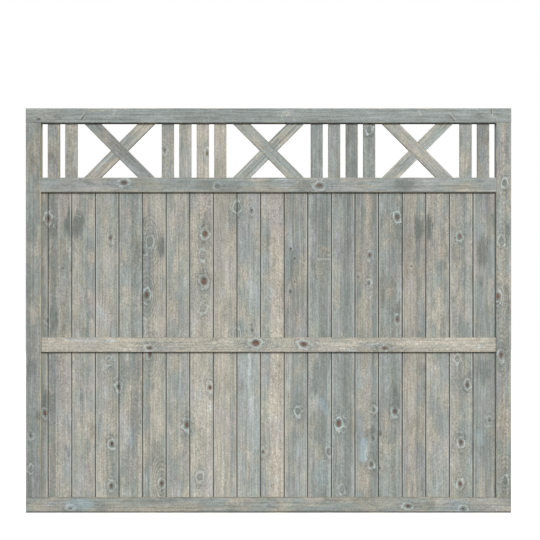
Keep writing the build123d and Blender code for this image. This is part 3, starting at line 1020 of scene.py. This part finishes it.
def lay_knots(tree, name, lean, across, along):
    """What the piece's knots do at a point: where they push the grain, and how near they are."""
    state = {"Across": across, "Clearance": FAR_AWAY, "Ring": 0.0, "Heart": 0.0, "Smudge": 0.0,
             "Figure": 0.0}
    for x, height, radius, ring in knots_on(name):
        knot_across, knot_along = on_grain(name, lean, x, height)
        state = place_group(
            tree, knot_group, along=along, knot_across=knot_across, knot_along=knot_along,
            knot_radius=abs(radius), knot_ring=ring, knot_heart=1.0 if radius > 0 else 0.0,
            knot_figure=ring * FIGURES.get(name, PLAIN_FIGURE), **state,
        )
    return state


def lay_patches(tree, name, lean, seed, across, along):
    """The strongest dark patch and the strongest sandy patch at a point."""
    edge_noise = noise(vector(across * PATCH_FINE[0], seed, along * PATCH_FINE[1]), *PATCH_NOISE)
    ragged = (edge_noise - 0.5) * PATCH_RAGGED
    strongest = {"Dark": 0.0, "Sandy": 0.0}
    for x, height, half_width, half_length, strength in patches_on(name):
        patch_across, patch_along = on_grain(name, lean, x, height)
        strongest = place_group(
            tree, patch_group, across=across, along=along, ragged=ragged, patch_across=patch_across,
            patch_along=patch_along, half_width=half_width, half_length=half_length,
            patch_dark=max(-strength, 0.0), patch_sandy=max(strength, 0.0), **strongest,
        )
    return strongest


print("most knots in one piece:", max(len(knots_on(name)) for name in panel))

# %% [markdown]
# ## Lay the scratches of a piece
# The scratches come last, because they were made last. The pale ones lift the glaze and the dark ones press
# it in, and both cover what lies below. A rub only adds its pale blue, and most of it where the streaks of
# the grain stand up.

# %% Scratches and rubs of one piece
RUB_BY_STREAK = (0.35, 0.60, 0.30, 1.00)


def lay_strokes(tree, name, place, strokes):
    """How much of a point the strokes of a piece cover, the pale ones and the dark ones."""
    shares = {"Pale": 0.0, "Dark": 0.0}
    for *line, strength in strokes:
        start_x, start_z, end_x, end_z, half_width = (size / 1000 for size in line)
        if on_piece(name, start_x, start_z):
            shares = place_group(
                tree, scratch_group, place=place, start_x=start_x, start_z=start_z, run_x=end_x - start_x,
                run_z=end_z - start_z, half_width=half_width, scratch_pale=max(strength, 0.0),
                scratch_dark=max(-strength, 0.0), **shares,
            )
    return shares


def lay_scratches(tree, name, place, colour, streaks):
    """The piece's colour with its rubs and its scratches on it. A rub follows the streaks of the grain."""
    rubbed = lay_strokes(tree, name, place, RUBS)["Pale"] * fade(streaks, *RUB_BY_STREAK)
    scratches = lay_strokes(tree, name, place, SCRATCHES_AND_PAINTED_SHADE)
    colour = blend(rubbed, colour, PALE_BLUE, "ADD")
    return lay(colour, (scratches["Dark"], RIM), (scratches["Pale"], PALE))


on_top_rail = sum(on_piece("top_rail", x / 1000, z / 1000) for x, z, *_ in SCRATCHES_AND_PAINTED_SHADE)
print("scratches that start on the top rail:", on_top_rail)

# %% [markdown]
# ## The edges of a frame piece or a batten
# The group for arrises has to know how far a piece's sides, faces and ends lie from its middle. Its CAD box
# says so for an upright piece and for a lying one. A brace fills its box slantwise, so its width is written
# down, and its ends are cut to the rails and don't show. Six pieces get painted shade or painted light on one
# side: painted shade on the undersides of the top and bottom rails, and painted light on the undersides of
# the lattice and middle rails and on the inner sides of the stiles.

# %% Edges of one piece
RAIL_LEAN = 90
BRACE_LEAN = 45
BATTEN_WIDTH = 0.045
SIDE_TONES_AND_PAINTED_SHADE = {
    # the piece's upper or left side, then its lower or right side: the tones other than SIDE_BROWN are
    # painted shade or painted light
    "top_rail": (SIDE_BROWN, tone(60, 58, 42)),
    "bottom_rail": (SIDE_BROWN, tone(92, 94, 84)),
    "lattice_rail": (SIDE_BROWN, tone(180, 172, 144)),
    "middle_rail_front": (SIDE_BROWN, tone(184, 174, 144)),
    "left_stile": (SIDE_BROWN, tone(176, 167, 134)),
    "right_stile": (tone(170, 176, 172), SIDE_BROWN),
}


def finish_edges(tree, name, lean, colour, spot, line, streaks, wear):
    """Brown the sides, draw rings on the ends and wear the arrises of a frame piece or a batten."""
    low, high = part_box(name)
    half = (high - low) / 2
    slants = abs(lean) == BRACE_LEAN
    half_width = BATTEN_WIDTH / 2 if slants else half.z if lean else half.x
    half_length = FAR_AWAY if slants else half.x if lean else half.z
    minus_side, plus_side = SIDE_TONES_AND_PAINTED_SHADE.get(name, (SIDE_BROWN, SIDE_BROWN))
    return place_group(
        tree, arris_group, colour=colour, across=spot["X"], depth=spot["Y"], along=spot["Z"],
        half_width=half_width, half_depth=half.y, half_length=half_length, line=line, streaks=streaks,
        wear=wear, minus_side=minus_side, plus_side=plus_side,
    )["Colour"]


print("sides with a tone of their own:", len(SIDE_TONES_AND_PAINTED_SHADE), "and battens", BATTEN_WIDTH * 1000, "mm wide")

# %% [markdown]
# ## One timber finish for every wooden piece
# The recipe is the same for a board, a rail, a picket and a brace: grain, knots, patches, growth rings,
# glaze, knot colours, edges. What changes is which way the grain runs, how light and warm the piece is, and
# how strongly the brush combed the glaze. Only the last step differs: boards have joints, the rest arrises.

# %% The timber material
GRAIN_BUMP = 0.0005
BUMP_STRENGTH = 0.6
TONGUE = 0.008
# painted light: how much paler a board is painted per metre towards its bottom
PAINTED_LIGHT_BELOW = 0.21
GLAZE_ROUGHNESS = 0.78
HEART_ROUGHNESS = 0.50
PITH_ACROSS = (-0.03, 0.03)
PITH_DEPTH = (0.03, 0.07)
NO_STRIPE = (0, 0, 0)
PLAIN_COMBED = 0.25
COMBED = {"board_12": 0.55, "board_13": 0.5, "board_14": 0.5, "board_02": 0.4, "board_06": 0.4,
          "top_rail": 0.6, "bottom_rail": 0.5, "left_stile": 0.5, "right_stile": 0.6,
          "rising_brace_2": 1.2, "rising_brace_3": 1.0, "rising_brace_1": 0.8}


def stripe_inputs(name, stripe_row, shift):
    """A stripe's middle and half width, in metres, and its strength, under the names of their sockets."""
    middle, half, strength = stripe_row
    return {name + "_middle": middle / 1000 + shift, name + "_half": half / 1000,
            name + "_strength": strength}


def timber(name, lean, tones, seed, wear=0.0, sand=NO_STRIPE, slate_stripe=NO_STRIPE):
    """The finish of one piece. Lean is the angle of its grain from upright, in degrees."""
    lightness, warmth, slate = tones
    is_board = name.startswith("board")
    material, tree, shader = new_material("timber_" + name)
    place, spot, across = lay_grain(tree, name, lean, seed)
    depth = spot["Y"]
    along = spot["Z"]
    grain = lay_knots(tree, name, lean, across, along)
    patches = lay_patches(tree, name, lean, seed, across, along)
    chance = random.Random(seed)
    rings = place_group(
        tree, ring_group, across=grain["Across"], depth=depth, along=along,
        pith_across=chance.uniform(*PITH_ACROSS), pith_depth=chance.uniform(*PITH_DEPTH), seed=seed,
    )
    shift = WOBBLE / 2 - (TONGUE / 2 if is_board else 0.0)
    glaze = place_group(
        tree, glaze_group, across=grain["Across"], depth=depth, along=along, line=rings["Line"],
        smudge=grain["Smudge"], figure=grain["Figure"], combed=COMBED.get(name, PLAIN_COMBED), seed=seed,
        warmth=warmth, slate=slate, lightness=lightness, paler_below=PAINTED_LIGHT_BELOW if is_board else 0.0,
        dark_patch=patches["Dark"], sandy_patch=patches["Sandy"], **stripe_inputs("sand", sand, shift),
        **stripe_inputs("slate", slate_stripe, shift),
    )
    knots = place_group(
        tree, knot_look_group, colour=glaze["Colour"], height=glaze["Height"],
        clearance=grain["Clearance"], ring=grain["Ring"], heart=grain["Heart"], across=across, along=along,
    )
    colour = lay_scratches(tree, name, place, knots["Colour"], glaze["Streaks"])
    if is_board:
        colour = place_group(tree, joint_group, colour=colour, place=place)["Colour"]
    else:
        colour = finish_edges(tree, name, lean, colour, spot, rings["Line"], glaze["Streaks"], wear)
    relief = {"Strength": BUMP_STRENGTH, "Distance": GRAIN_BUMP, "Height": knots["Height"]}
    join_all(shader, {
        "Base Color": colour,
        "Roughness": fade(knots["Gloss"], 0.0, 1.0, GLAZE_ROUGHNESS, HEART_ROUGHNESS),
        "Normal": add_value(tree, "ShaderNodeBump", relief),
    })
    return material


def dress(name, material):
    """Give a CAD piece its finish in every one of its material slots."""
    for slot in panel[name].material_slots:
        slot.material = material


print("recipe ready, with a relief of", GRAIN_BUMP * 1000, "mm")

# %% [markdown]
# ## Finish the boards
# Twenty boards come from twenty trees, so each has its own lightness, warmth and share of slate, and a sandy
# or slate stripe where its heartwood or its edge shows. The seed moves all noise to another part of the log.

# %% Finish the boards
BOARD_SEED = 1.37
BOARD_LOOKS = [
    # lightness, warmth, slate; then a sandy and a slate stripe: middle and half width in mm, and strength
    (0.85, 0.00, 0.03, (0, 0, 0), (-6, 10, 0.4)),
    (0.91, 0.02, 0.02, (2, 14, 0.5), (-26, 11, 0.5)),
    (0.98, 0.01, -0.01, (-22, 14, 0.4), (0, 0, 0)),
    (1.07, 0.01, -0.02, (-7, 17, 0.6), (33, 8, 0.3)),
    (1.04, 0.00, -0.01, (0, 0, 0), (13, 13, 0.5)),
    (0.98, 0.02, -0.01, (9, 19, 0.7), (-20, 7, 0.3)),
    (1.02, -0.01, -0.04, (30, 10, 0.4), (0, 0, 0)),
    (1.06, 0.05, -0.05, (5, 36, 0.6), (0, 0, 0)),
    (1.03, 0.03, -0.05, (-10, 28, 0.7), (0, 0, 0)),
    (1.07, -0.05, -0.05, (0, 0, 0), (0, 0, 0)),
    (1.04, 0.00, -0.05, (18, 26, 0.9), (0, 0, 0)),
    (0.95, -0.02, 0.00, (34, 8, 0.3), (-6, 10, 0.2)),
    (1.02, -0.06, 0.00, (-38, 5, 0.3), (13, 16, 0.5)),
    (0.98, -0.06, 0.00, (0, 0, 0), (15, 15, 0.5)),
    (0.89, -0.02, 0.01, (2, 11, 0.8), (30, 10, 0.4)),
    (0.92, -0.04, 0.01, (0, 0, 0), (12, 10, 0.3)),
    (0.87, 0.02, -0.01, (-12, 22, 0.8), (14, 7, 0.2)),
    (0.97, 0.00, -0.02, (-32, 9, 0.5), (0, 0, 0)),
    (0.97, 0.00, -0.02, (-25, 15, 0.5), (8, 8, 0.3)),
    (0.94, -0.02, 0.01, (0, 0, 0), (12, 10, 0.3)),
]
for number, (*tones, sand, slate_stripe) in enumerate(BOARD_LOOKS, 1):
    name = f"board_{number:02d}"
    dress(name, timber(name, 0, tones, number * BOARD_SEED, sand=sand, slate_stripe=slate_stripe))
print("boards finished:", len(BOARD_LOOKS))

# %% [markdown]
# ## Finish the frame and the middle rails
# The rails lie on their side, so their grain leans a right angle from upright, and the stiles' doesn't. The
# top rail took the glaze coolest, and the middle rail in front stayed sandy.

# %% Finish the frame and the middle rails
FRAME_WEAR = 0.6
FRAME_SEED = 40.3
FRAME_SEED_STEP = 2.1
FRAME_LOOKS = {
    # lightness, warmth, slate, then a sandy stripe
    "top_rail": (0.875, -0.21, 0.00, NO_STRIPE), "bottom_rail": (0.97, 0.0, 0.02, NO_STRIPE),
    "lattice_rail": (0.92, -0.05, 0.0, NO_STRIPE),
    "middle_rail_front": (1.05, 0.10, -0.06, NO_STRIPE), "middle_rail_back": (1.0, 0.02, 0.0, NO_STRIPE),
    "left_stile": (0.865, -0.05, 0.01, NO_STRIPE), "right_stile": (0.905, -0.02, 0.0, (-3, 9, 0.6)),
}
for number, (name, (*tones, sand)) in enumerate(FRAME_LOOKS.items()):
    lean = 0 if "stile" in name else RAIL_LEAN
    seed = FRAME_SEED + number * FRAME_SEED_STEP
    dress(name, timber(name, lean, tones, seed, FRAME_WEAR, sand))
print("frame members finished:", len(FRAME_LOOKS))

# %% [markdown]
# ## Finish the lattice
# A brace's grain leans 45 degrees, one way or the other, and its knots and arrises follow it. The Mapping
# node's turn does that, so the recipe needs nothing new.

# %% Finish the lattice
BATTEN_WEAR = 0.5
BATTEN_SEED = 70.9
BATTEN_SEED_STEP = 1.9
BATTEN_LOOKS = {
    # lightness, warmth, slate
    "picket_01": (0.89, 0.02, 0.02), "picket_02": (0.86, 0.05, -0.02), "picket_03": (0.91, 0.02, 0.0),
    "picket_04": (1.07, 0.01, 0.0), "picket_05": (1.03, 0.11, -0.04), "picket_06": (0.91, 0.12, -0.06),
    "picket_07": (0.845, -0.17, 0.03), "picket_08": (0.90, -0.07, 0.01), "picket_09": (0.71, -0.06, 0.02),
    "picket_10": (0.83, -0.08, 0.02), "picket_11": (0.91, -0.02, 0.0), "picket_12": (0.70, 0.0, 0.04),
    "falling_brace_1": (0.76, -0.07, 0.02), "falling_brace_2": (1.00, -0.04, -0.02),
    "falling_brace_3": (0.99, 0.05, -0.02), "rising_brace_1": (0.97, 0.11, -0.05),
    "rising_brace_2": (0.96, -0.05, 0.02), "rising_brace_3": (0.98, 0.0, 0.0),
}
for number, (name, tones) in enumerate(BATTEN_LOOKS.items()):
    lean = BRACE_LEAN if name.startswith("rising") else -BRACE_LEAN if name.startswith("falling") else 0
    dress(name, timber(name, lean, tones, BATTEN_SEED + number * BATTEN_SEED_STEP, BATTEN_WEAR))
print("battens finished:", len(BATTEN_LOOKS))

# %% [markdown]
# ## The frame's long screws
# Four long countersunk screws hold the corners, two from above and two from below. The CAD model gives them
# a plain shank, so here one is modelled as it is made: first a blank with a coned head and a point, then the
# cross and the thread. A turned shape could be spun from a profile. Here one round face is extruded down the
# length and scaled at each step, because that keeps every measure in one line.

# %% Model one screw, head at the origin and point downwards
HEAD_RADIUS = 0.0049
SHANK_RADIUS = 0.0024
CORE_RADIUS = 0.0017
HEAD_RIM = 0.0003
SCREW_LENGTH = 0.100
POINT_LENGTH = 0.006
POINT_TAPER = 0.08
THREAD_LENGTH = 0.060
ROUND_FACES = 24


def edit_mesh(action):
    """Go into edit mode with all of the mesh selected, or none of it."""
    bpy.ops.object.mode_set(mode="EDIT")
    bpy.ops.mesh.select_all(action=action)


def face_outwards():
    """Turn the faces outwards and leave edit mode."""
    bpy.ops.mesh.select_all(action="SELECT")
    bpy.ops.mesh.normals_make_consistent(inside=False)
    bpy.ops.object.mode_set(mode="OBJECT")


def draw_out(length, scale, height):
    """Extrude the selected end downwards and scale it. Returns the new end's height."""
    bpy.ops.mesh.extrude_region_move(TRANSFORM_OT_translate={"value": (0, 0, -length)})
    height -= length
    bpy.ops.transform.resize(value=(scale, scale, 1), center_override=(0, 0, height))
    return height


bpy.ops.object.select_all(action="DESELECT")
bpy.ops.mesh.primitive_circle_add(vertices=ROUND_FACES, radius=HEAD_RADIUS, fill_type="NGON")
screw = bpy.context.object
screw.name = "screw_pattern"
edit_mesh("SELECT")
at = draw_out(HEAD_RIM, 1.0, 0.0)
at = draw_out(HEAD_RADIUS - SHANK_RADIUS, SHANK_RADIUS / HEAD_RADIUS, at)
at = draw_out(SCREW_LENGTH - THREAD_LENGTH - POINT_LENGTH + at, 1.0, at)
at = draw_out(SHANK_RADIUS - CORE_RADIUS, CORE_RADIUS / SHANK_RADIUS, at)
at = draw_out(SCREW_LENGTH - POINT_LENGTH + at, 1.0, at)
draw_out(POINT_LENGTH, POINT_TAPER, at)
face_outwards()
print("blank", len(screw.data.polygons), "faces,", round(screw.dimensions.z * 1000, 1), "mm long")

# %% [markdown]
# ## The cross in the head
# The driver's cross is pressed into the blank by a punch. The punch here is two tapered wings at a right
# angle, and a Boolean modifier takes each of them out of the head. It is real geometry, so a light from the
# side throws a shadow in it.

# %% Press the cross into the head
CROSS_WIDTH = 0.0011
CROSS_REACH = 0.0027
CROSS_DEPTH = 0.0022
PUNCH_TAPER = (0.45, 0.8, 1)

bpy.ops.object.select_all(action="DESELECT")
bpy.ops.mesh.primitive_cube_add(size=1, scale=(2 * CROSS_REACH, CROSS_WIDTH, 2 * CROSS_DEPTH))
punch = bpy.context.object
edit_mesh("DESELECT")
bpy.ops.object.mode_set(mode="OBJECT")
for corner in punch.data.vertices:
    corner.select = corner.co.z < 0
bpy.ops.object.mode_set(mode="EDIT")
bpy.ops.transform.resize(value=PUNCH_TAPER, center_override=(0, 0, -CROSS_DEPTH))
bpy.ops.object.mode_set(mode="OBJECT")
bpy.ops.object.duplicate()
second_wing = bpy.context.object
bpy.ops.transform.rotate(value=math.radians(90), orient_axis="Z", center_override=(0, 0, 0))
bpy.ops.object.transform_apply(location=True, rotation=True, scale=True)
for wing in (punch, second_wing):
    pressed = screw.modifiers.new("press", "BOOLEAN")
    pressed.operation = "DIFFERENCE"
    pressed.solver = "EXACT"
    pressed.object = wing
    bpy.context.view_layer.objects.active = screw
    bpy.ops.object.modifier_apply(modifier=pressed.name)
    bpy.data.objects.remove(wing)
print("head pressed, now", len(screw.data.polygons), "faces")

# %% [markdown]
# ## The thread
# A wood screw's thread is a thin blade wound round its core, rising to the right. The Screw modifier winds
# it from a small triangle that starts at the bottom. Joined to the blank, it becomes one finished screw.

# %% Wind the thread round the core
THREAD_PITCH = 0.0026
THREAD_HEIGHT = 0.0008
THREAD_OFF_POINT = 0.001
THREAD_RUN_OUT = 0.004
STEPS_A_TURN = 16
MERGE_WITHIN = 0.00001
SMOOTH_BELOW = 35

bpy.ops.object.select_all(action="DESELECT")
thread_bottom = POINT_LENGTH + THREAD_OFF_POINT - SCREW_LENGTH
bpy.ops.mesh.primitive_circle_add(
    vertices=3, radius=THREAD_HEIGHT, fill_type="NOTHING", location=(CORE_RADIUS, 0, thread_bottom),
    rotation=(math.radians(90), math.radians(90), 0))
thread = bpy.context.object
bpy.ops.object.transform_apply(location=True, rotation=True, scale=True)
winding = thread.modifiers.new("wind", "SCREW")
winding.axis = "Z"
winding.screw_offset = THREAD_PITCH
winding.iterations = int((THREAD_LENGTH - THREAD_RUN_OUT) / THREAD_PITCH)
winding.steps = winding.render_steps = STEPS_A_TURN
bpy.ops.object.modifier_apply(modifier=winding.name)
edit_mesh("SELECT")
bpy.ops.mesh.remove_doubles(threshold=MERGE_WITHIN)
bpy.ops.mesh.select_all(action="SELECT")
bpy.ops.mesh.fill_holes(sides=3)
face_outwards()
furthest = max(math.hypot(corner.co.x, corner.co.y) for corner in thread.data.vertices)
print("thread", len(thread.data.polygons), "faces, radius", round(furthest * 1000, 2), "mm")
screw.select_set(True)
bpy.context.view_layer.objects.active = screw
bpy.ops.object.join()
bpy.ops.object.shade_smooth_by_angle(angle=math.radians(SMOOTH_BELOW))
print("one screw has", len(screw.data.polygons), "faces")

# %% [markdown]
# ## Four screws in their places
# The pattern is copied four times, each copy with its own mesh, with its head flush with the top or the
# bottom rail. The CAD box gives the places. The copies' turns and places are applied, so that their objects
# sit at the origin like the CAD pieces, and they stand in for the CAD screws.

# %% Place the four screws
screw_low, screw_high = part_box("frame_screws")
middle_y = (screw_low.y + screw_high.y) / 2
from_left = screw_low.x + HEAD_RADIUS
from_right = screw_high.x - HEAD_RADIUS
SCREW_PLACES = {
    "top_left": (from_left, screw_high.z, 0), "top_right": (from_right, screw_high.z, 0),
    "bottom_left": (from_left, screw_low.z, 180), "bottom_right": (from_right, screw_low.z, 180),
}
frame_screws = []
for corner, (x, z, tilt) in SCREW_PLACES.items():
    bpy.ops.object.select_all(action="DESELECT")
    screw.select_set(True)
    bpy.context.view_layer.objects.active = screw
    bpy.ops.object.duplicate()
    copy = bpy.context.object
    copy.name = "frame_screw_" + corner
    copy.location = (x, middle_y, z)
    copy.rotation_euler = (math.radians(tilt), 0, 0)
    bpy.ops.object.transform_apply(location=True, rotation=True, scale=True)
    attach(copy, "root")
    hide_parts("frame_screws")
    frame_screws.append(copy)
    print(copy.name, [round(c, 4) for c in copy.bound_box[0]], [round(c, 4) for c in copy.bound_box[6]])
bpy.data.objects.remove(screw)
print("CAD screws", [round(c, 4) for c in screw_low], [round(c, 4) for c in screw_high])

# %% [markdown]
# ## Zinc plate
# Zinc plating is a dull, slightly blotchy grey metal, on the screws and on the square brads that pin the
# rails and the lattice from the back. Noise moves its colour and its roughness a little.

# %% Finish the fasteners
ZINC_DARK = tone(168, 170, 170)
ZINC_LIGHT = tone(196, 198, 196)
ZINC_FINE = 900.0
ZINC_DETAIL = 3.0
ZINC_TONES = (0.35, 0.65)
ZINC_ROUGHNESS = (0.30, 0.70, 0.34, 0.52)

zinc, tree, shader = new_material("zinc_plate")
place = add_value(tree, "ShaderNodeTexCoord", output="Object")
blotches = {"Vector": place, "Scale": ZINC_FINE, "Detail": ZINC_DETAIL}
blotch = add_value(tree, "ShaderNodeTexNoise", blotches, "Fac")
join_all(shader, {
    "Base Color": blend(fade(blotch, *ZINC_TONES), ZINC_DARK, ZINC_LIGHT),
    "Roughness": fade(blotch, *ZINC_ROUGHNESS), "Metallic": 1.0,
})
for name in ("rail_brads", "lattice_brads", "crossing_brads"):
    dress(name, zinc)
for piece in frame_screws:
    piece.data.materials.clear()
    piece.data.materials.append(zinc)
print("zinc on", len(frame_screws), "screws and three groups of brads")
